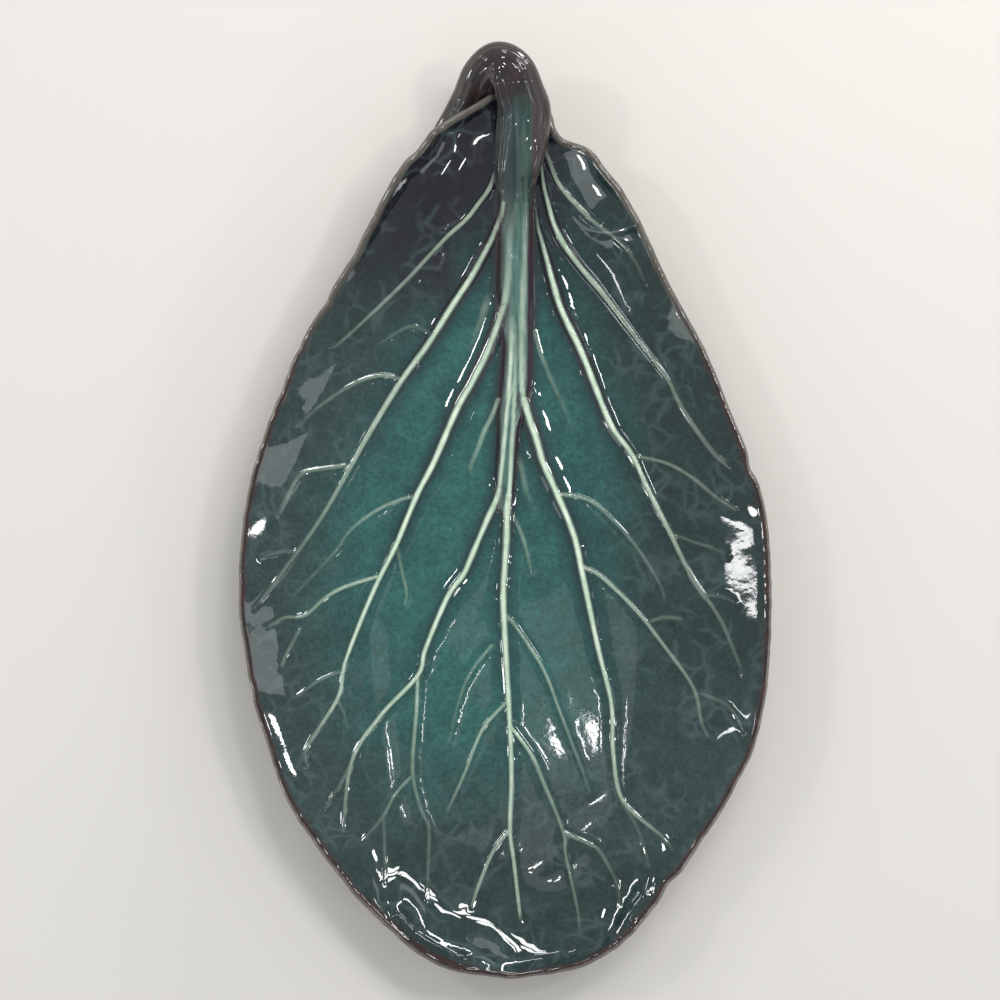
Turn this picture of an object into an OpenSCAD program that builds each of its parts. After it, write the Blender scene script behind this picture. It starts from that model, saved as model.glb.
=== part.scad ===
// A ceramic serving plate in the form of a leaf, with raised ribs and a stem curled into a handle.
// The origin is on the table, in the middle of the plate's length and width. The stem points to +Y.

/* [Leaf] */
// Length of the blade, from its tip to its top edge behind the stem
blade_len = 266.4; // [220:0.1:320]
// Width of the blade where it is widest
blade_w = 160.8; // [130:0.1:200]
// Thickness of the slab
slab_t = 5; // [4:0.1:6.5]
// Thickness of the rim
rim_t = 2.4; // [1.5:0.1:3.5]
// How far the rim stands above the dish floor, halfway down the leaf
rim_rise = 14; // [10:0.1:17]

/* [Stem] */
// Width of the stem where it is widest, above the leaf's top edge
stem_w = 16.2; // [13:0.1:17]
// Thickness of the stem where it is widest
stem_t = 10.5; // [8:0.1:12]
// Width of the stem's end, under the leaf's shoulder
stem_end_w = 10.5; // [8:0.1:12]
// Thickness of the stem's end
stem_end_t = 7.5; // [6:0.1:9]
// Height of the middle of the stem's crown above the table
stem_crown_z = 33.5; // [31:0.1:36]
// Depth of the flutes along the stem
flute_d = 0.5; // [0.2:0.05:0.8]

/* [Ribs] */
// Width of the midrib at the stem
midrib_w = 10.6; // [8:0.1:12]
// Height of the midrib at the stem
midrib_h = 4; // [3:0.1:5]
// Width of the midrib's lower end and of the centre vein that carries on from it
centre_vein_w = 3.2; // [2.4:0.1:4]
// Height of the centre vein where it starts
centre_vein_h = 1.9; // [1.2:0.1:2.6]
// Width of a side vein where it starts
vein_w = 2.6; // [2:0.1:3.2]
// Height of a side vein where it starts
vein_h = 1.6; // [1:0.1:2.2]
// Width of the branches where they start
branch_w = 1.7; // [1.3:0.1:2.2]
// Height of the branches where they start
branch_h = 0.8; // [0.6:0.1:1.5]
// Width of every vein at its tip
vein_tip_w = 0.9; // [0.6:0.1:1.2]
// Height of every vein at its tip
vein_tip_h = 0.4; // [0.3:0.05:0.8]

/* [Foot] */
// Height of the foot ring
foot_h = 5.5; // [4:0.1:8]
// Length of the foot ring
foot_len = 124; // [100:1:130]
// Width across the foot ring
foot_w = 62; // [50:1:64]
// Thickness of the foot ring's wall
foot_wall = 6; // [4:0.1:8]

/* [Fits] */
// Clear space between a piece that lies on the slab and the slab
seat_gap = 0.25; // [0.2:0.05:0.4]
// Clear space between two ribs where one meets the other
joint_gap = 0.3; // [0.2:0.05:0.6]
// Clear space between the stem and the leaf that it lies on and comes back under
stem_gap = 0.4; // [0.3:0.05:0.6]

/* [Hidden] */

// Colours of the glaze and of the bare clay
glaze_dark = [0.22, 0.36, 0.34];
glaze_pale = [0.66, 0.78, 0.67];
glaze_stem = [0.31, 0.42, 0.39];
bare_clay = [0.55, 0.36, 0.28];

// Places of the leaf's ends and of its middle line in the photograph, in pixels
tip_px = 981;
blade_top_px = 93;
plate_top_px = 42.5;
middle_px = 505;
widest_px = 536;
along_per_px = blade_len / (tip_px - blade_top_px);
across_per_px = blade_w / widest_px;
tip_y = -(tip_px - plate_top_px) / 2 * along_per_px;
// A place in the photograph, taken to the plate's own frame
function at(p) = [(p.x - middle_px) * across_per_px, tip_y + (tip_px - p.y) * along_per_px];

// Each row: share of the blade's length from the tip, then the left and right margins
// as shares of half its width
margin_shares = [
    [0, 0, 0.045], [0.01, -0.205, 0.255], [0.024, -0.3, 0.365], [0.044, -0.39, 0.455],
    [0.091, -0.555, 0.59], [0.148, -0.705, 0.725], [0.204, -0.82, 0.84], [0.26, -0.888, 0.933],
    [0.316, -0.944, 0.978], [0.373, -0.978, 0.993], [0.429, -1, 1], [0.485, -0.993, 0.993],
    [0.542, -0.97, 0.97], [0.598, -0.925, 0.907], [0.654, -0.855, 0.832], [0.711, -0.78, 0.754],
    [0.767, -0.675, 0.653], [0.823, -0.563, 0.56], [0.88, -0.466, 0.466], [0.914, -0.4, 0.385],
    [0.938, -0.336, 0.317], [0.949, -0.302, 0.228], [0.958, -0.28, 0.198], [0.972, -0.209, 0.187],
    [0.981, -0.16, 0.175], [1, -0.056, 0.153],
];
// Height of the left and right rims above the floor as shares of rim_rise, at even steps from
// the tip to the top. The left shoulder stands high over the stem's end.
rim_rise_shares = [
    [0.85, 0.85], [0.85, 0.85], [0.9, 0.88], [0.95, 0.93], [1, 1], [1, 1],
    [0.98, 0.98], [1, 0.98], [1.08, 1.04], [1.28, 1.18], [1.5, 1],
];
// Shares of the half width and of the half length over which the floor stays flat
flat_across_share = 0.4;
flat_along_share = 0.5;
// How fast the sides climb from the flat floor to the rim: over the belly of the leaf, and at its
// narrow shoulders, with the shares of the length between which the one changes into the other
side_power = 2.6;
shoulder_power = 1.8;
shoulder_from_share = 0.55;
shoulder_full_share = 0.85;
// How fast the top end and the tip climb
end_power = 2.2;
tip_power = 4.5;
// Height of the blade's top edge behind the stem, as a share of the shoulders' rise
gutter_share = 0.8;
// How sharply the slab thins towards its sides and towards its two ends
rim_power = 10;
end_rim_power = 70;
blade_rows = 44;
blade_cols = 28;
floor_z = foot_h + slab_t;

// Routes of the midrib and of the veins, read off the photograph in pixels
midrib_px = [[515, 204], [516, 260], [515, 320], [513, 380], [510, 430], [507, 488]];
// Width of the midrib along its route, from the stem's width to the centre vein's
midrib_width_shares = [1, 0.98, 0.95, 0.8, 0.42, 0];
centre_vein_px = [
    [508, 493], [507, 510], [506, 540], [504.5, 570], [503.5, 600], [505, 640], [509, 710],
    [511.5, 774], [510, 831], [514, 864], [518, 899], [521, 925],
];
left_vein_1_px = [
    [499, 160], [490, 185], [478, 203], [465, 219], [445, 237], [402, 283], [350, 333],
    [330, 350],
];
left_vein_2_px = [
    [507, 165], [503, 204], [496, 228], [490, 241], [481, 258], [470, 277], [453, 303],
    [427, 344], [400, 381], [366, 437], [327, 507], [297, 552], [254, 609],
];
left_vein_3_px = [
    [502, 307], [499, 320], [493, 336], [484, 358], [476, 374], [470, 385], [456, 410],
    [434, 461], [416, 496], [395, 546], [372, 593], [345, 661], [337, 699], [307, 747],
    [305, 765],
];
left_vein_4_px = [
    [499, 490], [495, 503], [487, 520], [470, 560], [463, 575], [447, 598], [425, 650],
    [417, 677], [380, 717], [351, 763], [342, 838],
];
left_vein_5_px = [[506, 703], [485, 727], [475, 747], [464, 776], [446, 815]];
left_vein_6_px = [[510, 832], [493, 854], [480, 884], [471, 910]];
right_vein_1_px = [
    [543, 148], [549, 159], [556, 178], [568, 195], [579, 206], [594, 221], [621, 243],
    [636, 263], [646, 284],
];
right_vein_2_px = [
    [541, 163], [544, 185], [549, 203], [554, 223], [564, 242], [581, 266], [602, 291],
    [639, 340], [668, 379], [681, 405], [711, 448], [731, 467],
];
right_vein_3_px = [
    [536, 208], [538, 226], [542, 238], [547, 258], [554, 285], [563, 311], [584, 355],
    [611, 422], [633, 454], [647, 485], [671, 533], [692, 576], [722, 622], [744, 677],
];
right_vein_4_px = [
    [524, 398], [527, 411], [531, 423], [536, 436], [543, 461], [553, 485], [574, 533],
    [584, 577], [598, 646], [612, 705], [614, 755], [624, 803], [664, 839], [675, 856],
];
right_vein_5_px = [[505, 615], [517, 629], [544, 670], [561, 715], [582, 770], [591, 797]];
right_vein_6_px = [
    [511, 728], [532, 757], [543, 782], [564, 835], [566, 856], [578, 912], [580, 935],
];

// Branches: each list starts on the rib that it leaves
left_2_branches_px = [
    [[400, 378], [378, 375], [350, 385], [313, 411], [299, 428]],
    [[433, 334], [412, 325], [394, 333], [376, 345]],
    [[351, 465], [320, 469], [300, 475], [286, 498], [277, 516]],
    [[297, 552], [279, 552], [261, 557]],
];
left_3_branches_px = [
    [[416, 496], [399, 500], [375, 511], [350, 530], [334, 552], [309, 579], [291, 598]],
    [[377, 578], [345, 587], [325, 598], [304, 616], [284, 618], [268, 627]],
    [[396, 545], [402, 575], [406, 593], [404, 607]],
    [[341, 672], [319, 681], [296, 697]],
    [[336, 701], [342, 712], [346, 726]],
];
left_4_branches_px = [
    [[417, 677], [416, 710], [412, 772], [420, 810], [428, 829], [428, 860], [426, 904]],
    [[352, 761], [340, 785], [323, 811]],
];
right_3_branches_px = [
    [[633, 455], [661, 461], [676, 467], [698, 481], [718, 498], [737, 511]],
    [[672, 533], [694, 542], [713, 548], [727, 555]],
    [[706, 596], [722, 597], [735, 603]],
];
right_4_branches_px = [
    [[560, 494], [583, 498], [602, 509], [635, 544], [661, 585], [666, 603]],
    [[584, 567], [604, 579], [637, 611], [663, 644], [694, 688], [702, 722], [710, 740]],
    [[622, 802], [639, 833], [650, 870]],
];
right_6_branches_px = [
    [[564, 835], [587, 845], [599, 852], [610, 870], [618, 887], [620, 908]],
];

// The stem's route in the photograph: up the leaf, round the crown and back under the shoulder
stem_up_px = [[515, 199], [516, 175], [521, 145], [524, 115], [520, 96]];
stem_crown_px = [[512, 76], [498, 67], [483, 77]];
stem_back_px = [[472, 97], [461, 115], [450, 132], [443, 145]];
// How far the crown has come down to the returning leg's height at its three places
crown_drop_shares = [0.05, 0.2, 0.55];
// Size of the stem at each of those places: shares of the way from its start to its full size,
// and then shares of the way from its full size to its end
stem_grow_shares = [0, 0.45, 0.9, 1, 1, 1, 1, 1, 1, 1, 1, 1];
stem_taper_shares = [0, 0, 0, 0, 0.25, 0.4, 0.5, 0.6, 0.75, 0.9, 1, 1];
// Places across the stem where its section is kept clear of the leaf, as shares of half its width
seat_shares = [-0.9, -0.6, -0.3, 0, 0.3, 0.6, 0.9];
stem_sides = 24;
stem_flutes = 8;
stem_rings = 36;

// Cross-section of a rib: shares of its width and of its height, from its left foot to its right
rib_shares = [[-0.5, 0], [-0.34, 0.66], [0, 1], [0.34, 0.66], [0.5, 0]];
midrib_section_shares = [
    [-0.5, 0], [-0.42, 0.66], [-0.22, 1], [0, 0.78], [0.22, 1], [0.42, 0.66], [0.5, 0],
];
// Length of one step along a rib, as a share of the leaf's length
rib_step = blade_len / 60;
// How much finer a route is where the start of a rib is cut to clear another
cut_factor = 8;
foot_sides = 72;

// Curves through chosen points
function lerp(a, b, s) = a + (b - a) * s;
function unit(v) = v / norm(v);
function side_of(v) = [v.y, -v.x];
function catmull(rows, t) =
    let (i = min(floor(t), len(rows) - 2), s = t - i)
    let (p0 = rows[max(i - 1, 0)], p1 = rows[i])
    let (p2 = rows[i + 1], p3 = rows[min(i + 2, len(rows) - 1)])
    0.5 * (2 * p1 + (p2 - p0) * s + (2 * p0 - 5 * p1 + 4 * p2 - p3) * s * s
    + (3 * p1 - p0 - 3 * p2 + p3) * s * s * s);
function smooth(rows, steps) = [for (k = [0:steps]) catmull(rows, k * (len(rows) - 1) / steps)];
function direction(path, k) = unit(path[min(k + 1, len(path) - 1)] - path[max(k - 1, 0)]);
function route_length(path, k = 1) =
    k >= len(path) ? 0 : norm(path[k] - path[k - 1]) + route_length(path, k + 1);

// The leaf's margins and its height at any place
margins = smooth(margin_shares, blade_rows);
left_margin = [for (m = margins) [tip_y + m[0] * blade_len, m[1] * blade_w / 2]];
right_margin = [for (m = margins) [tip_y + m[0] * blade_len, m[2] * blade_w / 2]];
function ramp(v, flat_share) = max(0, abs(v) - flat_share) / (1 - flat_share);
function rim_height(across, along) =
    let (sides = catmull(rim_rise_shares, along * (len(rim_rise_shares) - 1)))
    rim_rise * lerp(sides[0], sides[1], (1 - cos(90 * (across + 1))) / 2);
function climb(across, along) =
    let (w = 2 * along - 1)
    let (turn = (along - shoulder_from_share) / (shoulder_full_share - shoulder_from_share))
    let (power = lerp(side_power, shoulder_power, max(0, min(1, turn))))
    let (side = pow(ramp(across, flat_across_share), power))
    let (beyond = ramp(w, flat_along_share))
    let (end = w > 0 ? gutter_share * pow(beyond, end_power) : pow(beyond, tip_power))
    side + (1 - side) * end;
function height_in_leaf(across, along) =
    floor_z + rim_height(across, along) * climb(across, along);
function across_at(p) =
    let (l = lookup(p.y, left_margin), r = lookup(p.y, right_margin))
    max(-1, min(1, 2 * (p.x - l) / (r - l) - 1));
function along_at(p) = max(0, min(1, (p.y - tip_y) / blade_len));
function top_z(p) = height_in_leaf(across_at(p), along_at(p));
function slab_at(across, along) =
    let (end = pow(max(along, 1 - along), end_rim_power))
    lerp(slab_t, rim_t, max(pow(abs(across), rim_power), end));

// A closed body from rings of points that all have the same number of points. Each end is closed
// by triangles that run to and fro between the ring's two halves.
function cap(n) = [
    for (j = [0:floor(n / 2) - 1])
        let (k = n - 1 - j)
        each [if (j + 1 < k) [j, j + 1, k], if (j + 2 < k) [j + 1, k - 1, k]],
];
module rings_body(rings) {
    n = len(rings[0]);
    last = len(rings) - 1;
    sides = [
        for (i = [0:last - 1], j = [0:n - 1])
            let (k = (j + 1) % n)
            each [
                [i * n + j, (i + 1) * n + k, i * n + k],
                [i * n + j, (i + 1) * n + j, (i + 1) * n + k],
            ],
    ];
    start = cap(n);
    end = [for (f = cap(n)) [last * n + f[0], last * n + f[2], last * n + f[1]]];
    polyhedron([for (r = rings) each r], concat(sides, start, end), convexity = 8);
}

// A rib on the slab: its route, its widths and heights at both ends, and its cross-section
function rib_ring(path, k, w, h, section) =
    let (across = side_of(direction(path, k)))
    [
        for (s = section)
            let (p = path[k] + across * s.x * w)
            [p.x, p.y, top_z(p) + seat_gap + s.y * h],
    ];
module rib(path, widths, heights, section) {
    rings_body([
        for (k = [0:len(path) - 1])
            rib_ring(path, k, widths[k], heights[k], section),
    ]);
}
function tapered(path, a, b) = [for (k = [0:len(path) - 1]) lerp(a, b, k / (len(path) - 1))];

// A route in the plate's frame, with more steps to the length where it has to be cut
function steps_for(path, factor) = max(3, ceil(factor * route_length(path) / rib_step));
function route(px, factor = 1) =
    let (places = [for (p = px) at(p)])
    smooth(places, steps_for(places, factor));
// The part of a route from where it is clear of the rib that it starts on
function freed(px, is_clear) =
    let (fine = route(px, cut_factor))
    let (first = min([for (k = [0:len(fine) - 1]) if (is_clear(fine[k])) k]))
    let (rest = [for (k = [first:len(fine) - 1]) fine[k]])
    let (steps = steps_for(rest, 1))
    [for (k = [0:steps]) rest[round(k * (len(rest) - 1) / steps)]];

// The middle line that the side veins start from: each row is a y with its x and its half width
midrib_route = route(midrib_px);
midrib_widths = [
    for (k = [0:len(midrib_route) - 1])
        let (t = k * (len(midrib_width_shares) - 1) / (len(midrib_route) - 1))
        lerp(centre_vein_w, midrib_w, catmull(midrib_width_shares, t)),
];
centre_route = route(centre_vein_px);
stem_foot_route = [for (p = stem_up_px) at(p)];
function start_at(k) = lerp(midrib_w, stem_w, stem_grow_shares[k]);
function upwards(rows) = [for (k = [len(rows) - 1:-1:0]) rows[k]];
spine_rows = concat(
    upwards([for (p = centre_route) [p.y, p.x, centre_vein_w / 2]]),
    upwards([for (k = [0:len(midrib_route) - 1])
        [midrib_route[k].y, midrib_route[k].x, midrib_widths[k] / 2]]),
    [for (k = [1:len(stem_foot_route) - 1])
        [stem_foot_route[k].y, stem_foot_route[k].x, start_at(k) / 2]]
);
spine_x = [for (r = spine_rows) [r[0], r[1]]];
spine_half = [for (r = spine_rows) [r[0], r[2]]];
function clear_of_spine(p) =
    abs(p.x - lookup(p.y, spine_x)) > lookup(p.y, spine_half) + vein_w / 2 + joint_gap;
function clear_of_rib(p, path) = min([
    for (k = [0:len(path) - 1])
        norm(p - path[k]) - lerp(vein_w, vein_tip_w, k / (len(path) - 1)) / 2
]) > branch_w / 2 + joint_gap;

module side_vein(px, branches_px = []) {
    path = freed(px, function(p) clear_of_spine(p));
    whole = route(px, cut_factor);
    color(glaze_pale)
        rib(path, tapered(path, vein_w, vein_tip_w), tapered(path, vein_h, vein_tip_h), rib_shares);
    for (b = branches_px) {
        twig = freed(b, function(p) clear_of_rib(p, whole));
        color(glaze_pale)
            rib(twig, tapered(twig, branch_w, vein_tip_w),
                tapered(twig, branch_h, vein_tip_h), rib_shares);
    }
}

module leaf_blade() {
    rings = [
        for (i = [0:blade_rows])
            let (y = left_margin[i][0], l = left_margin[i][1], r = right_margin[i][1])
            let (us = [for (j = [0:blade_cols]) -cos(180 * j / blade_cols)])
            let (along = (y - tip_y) / blade_len)
            let (tops = [for (u = us) [lerp(l, r, (u + 1) / 2), y, height_in_leaf(u, along)]])
            concat(
                tops,
                [for (j = [blade_cols:-1:0]) tops[j] - [0, 0, slab_at(us[j], along)]]
            ),
    ];
    color(glaze_dark) rings_body(rings);
}

module midrib() {
    heights = tapered(midrib_route, midrib_h, centre_vein_h);
    color(glaze_stem) rib(midrib_route, midrib_widths, heights, midrib_section_shares);
}

module centre_vein() {
    color(glaze_pale)
        rib(centre_route, tapered(centre_route, centre_vein_w, vein_tip_w),
            tapered(centre_route, centre_vein_h, vein_tip_h), rib_shares);
}

// The stem's middle line with its width and thickness: on the leaf, over the crown and then
// under the shoulder, where the returning leg is pressed to the leaf's underside
stem_px = concat(stem_up_px, stem_crown_px, stem_back_px);
function stem_width(k) =
    lerp(lerp(midrib_w, stem_w, stem_grow_shares[k]), stem_end_w, stem_taper_shares[k]);
function stem_thickness(k) =
    lerp(lerp(midrib_h, stem_t, stem_grow_shares[k]), stem_end_t, stem_taper_shares[k]);
stem_up = len(stem_up_px);
stem_top = stem_up + len(stem_crown_px);
back_across = unit(side_of(at(stem_back_px[0]) - at(stem_back_px[len(stem_back_px) - 1])));
// Heights at which the oval section just clears the leaf over its whole width
function on_leaf(k) = max([
    for (o = seat_shares)
        top_z(at(stem_px[k]) + [o * stem_width(k) / 2, 0])
        + sqrt(1 - o * o) * stem_thickness(k) / 2
]) + stem_gap;
function under_leaf(k) = min([
    for (o = seat_shares)
        top_z(at(stem_px[k]) + back_across * o * stem_width(k) / 2)
        - slab_t - sqrt(1 - o * o) * stem_thickness(k) / 2
]) - stem_gap;
function stem_place(k) =
    k < stem_up ? on_leaf(k)
    : k >= stem_top ? under_leaf(k)
    : lerp(stem_crown_z, under_leaf(stem_top), crown_drop_shares[k - stem_up]);
module stem_handle() {
    rows = smooth([
        for (k = [0:len(stem_px) - 1])
            let (p = at(stem_px[k]))
            [p.x, p.y, stem_place(k), stem_width(k), stem_thickness(k)],
    ], stem_rings);
    path = [for (r = rows) [r[0], r[1], r[2]]];
    color(glaze_stem) rings_body([
        for (k = [0:stem_rings])
            let (d = direction(path, k), across = unit(cross(d, [0, 0, 1])), rise = cross(across, d))
            [
                for (j = [0:stem_sides - 1])
                    let (a = 360 * j / stem_sides)
                    let (cut = flute_d / 2 * (1 - cos(a * stem_flutes)))
                    let (half_w = rows[k][3] / 2 - cut, half_t = rows[k][4] / 2 - cut)
                    path[k] - across * cos(a) * half_w + rise * sin(a) * half_t,
            ],
    ]);
}

module oval(length, width) {
    polygon([
        for (j = [0:foot_sides - 1])
            let (a = 360 * j / foot_sides)
            [width / 2 * cos(a), length / 2 * sin(a)],
    ]);
}

module foot_ring() {
    color(bare_clay)
        translate([0, tip_y + blade_len / 2, 0])
            linear_extrude(foot_h)
                difference() {
                    oval(foot_len, foot_w);
                    oval(foot_len - 2 * foot_wall, foot_w - 2 * foot_wall);
                }
}

leaf_blade();
midrib();
stem_handle();
centre_vein();
side_vein(left_vein_1_px);  // left_vein_1
side_vein(left_vein_2_px, left_2_branches_px);  // left_vein_2
side_vein(left_vein_3_px, left_3_branches_px);  // left_vein_3
side_vein(left_vein_4_px, left_4_branches_px);  // left_vein_4
side_vein(left_vein_5_px);  // left_vein_5
side_vein(left_vein_6_px);  // left_vein_6
side_vein(right_vein_1_px);  // right_vein_1
side_vein(right_vein_2_px);  // right_vein_2
side_vein(right_vein_3_px, right_3_branches_px);  // right_vein_3
side_vein(right_vein_4_px, right_4_branches_px);  // right_vein_4
side_vein(right_vein_5_px);  // right_vein_5
side_vein(right_vein_6_px, right_6_branches_px);  // right_vein_6
foot_ring();
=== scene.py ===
import math

import bpy
import numpy as np
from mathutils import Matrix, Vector, noise
from mathutils.geometry import delaunay_2d_cdt
from mathutils.kdtree import KDTree


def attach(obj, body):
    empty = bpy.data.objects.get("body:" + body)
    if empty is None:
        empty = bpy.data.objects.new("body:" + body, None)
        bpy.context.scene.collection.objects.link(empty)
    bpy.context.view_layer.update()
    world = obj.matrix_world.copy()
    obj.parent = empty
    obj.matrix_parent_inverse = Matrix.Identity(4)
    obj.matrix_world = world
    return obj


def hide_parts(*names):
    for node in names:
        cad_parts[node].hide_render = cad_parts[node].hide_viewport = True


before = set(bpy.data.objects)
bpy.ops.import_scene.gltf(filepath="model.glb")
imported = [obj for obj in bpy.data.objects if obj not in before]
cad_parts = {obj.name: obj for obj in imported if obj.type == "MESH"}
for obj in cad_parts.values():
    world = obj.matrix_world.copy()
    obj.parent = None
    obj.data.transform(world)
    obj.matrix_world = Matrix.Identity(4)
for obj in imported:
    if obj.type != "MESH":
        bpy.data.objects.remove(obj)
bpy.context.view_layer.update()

# Size and place of the leaf, as in the CAD model
BLADE_LEN = 266.4
BLADE_W = 160.8
FLOOR_Z = 10.5
RIM_RISE = 14.0
SLAB_T = 5.0
RIM_T = 2.4
MIDDLE_PX = 505.0
TIP_PX = 981.0
MM_PER_PX = 0.3
TIP_Y = -140.775
MM_IN_M = 0.001

# The outline: shares of the way along it, and how far the left and right edges are out there
MARGIN_SHARES = [
    [0, 0, 0.045], [0.01, -0.205, 0.255], [0.024, -0.3, 0.365], [0.044, -0.39, 0.455],
    [0.091, -0.555, 0.59], [0.148, -0.705, 0.725], [0.204, -0.82, 0.84], [0.26, -0.888, 0.933],
    [0.316, -0.944, 0.978], [0.373, -0.978, 0.993], [0.429, -1, 1], [0.485, -0.993, 0.993],
    [0.542, -0.97, 0.97], [0.598, -0.925, 0.907], [0.654, -0.855, 0.832], [0.711, -0.78, 0.754],
    [0.767, -0.675, 0.653], [0.823, -0.563, 0.56], [0.88, -0.466, 0.466], [0.914, -0.4, 0.385],
    [0.938, -0.336, 0.317], [0.949, -0.302, 0.228], [0.958, -0.28, 0.198], [0.972, -0.209, 0.187],
    [0.981, -0.16, 0.175], [1, -0.056, 0.153],
]

# How high the left and right edges rise, at even steps from the tip
RIM_RISE_SHARES = [
    [0.85, 0.85], [0.85, 0.85], [0.9, 0.88], [0.95, 0.93], [1, 1], [1, 1],
    [0.98, 0.98], [1, 0.98], [1.08, 1.04], [1.28, 1.18], [1.5, 1],
]

# The strap of the midrib: its middle line, with its half width and height in mm
STRAP = [
    [515, 150, 5.3, 4.0], [515, 204, 5.3, 4.0], [515, 250, 5.3, 3.7], [515, 290, 5.3, 3.3],
    [515.5, 320, 5.0, 3.1], [517, 345, 4.3, 2.9], [515.5, 385, 4.6, 2.6], [511, 410, 4.1, 2.4],
    [508.5, 430, 3.3, 2.2], [506.5, 460, 3.1, 2.0], [505, 485, 3.0, 1.8], [504.5, 505, 2.5, 1.4],
]

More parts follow.
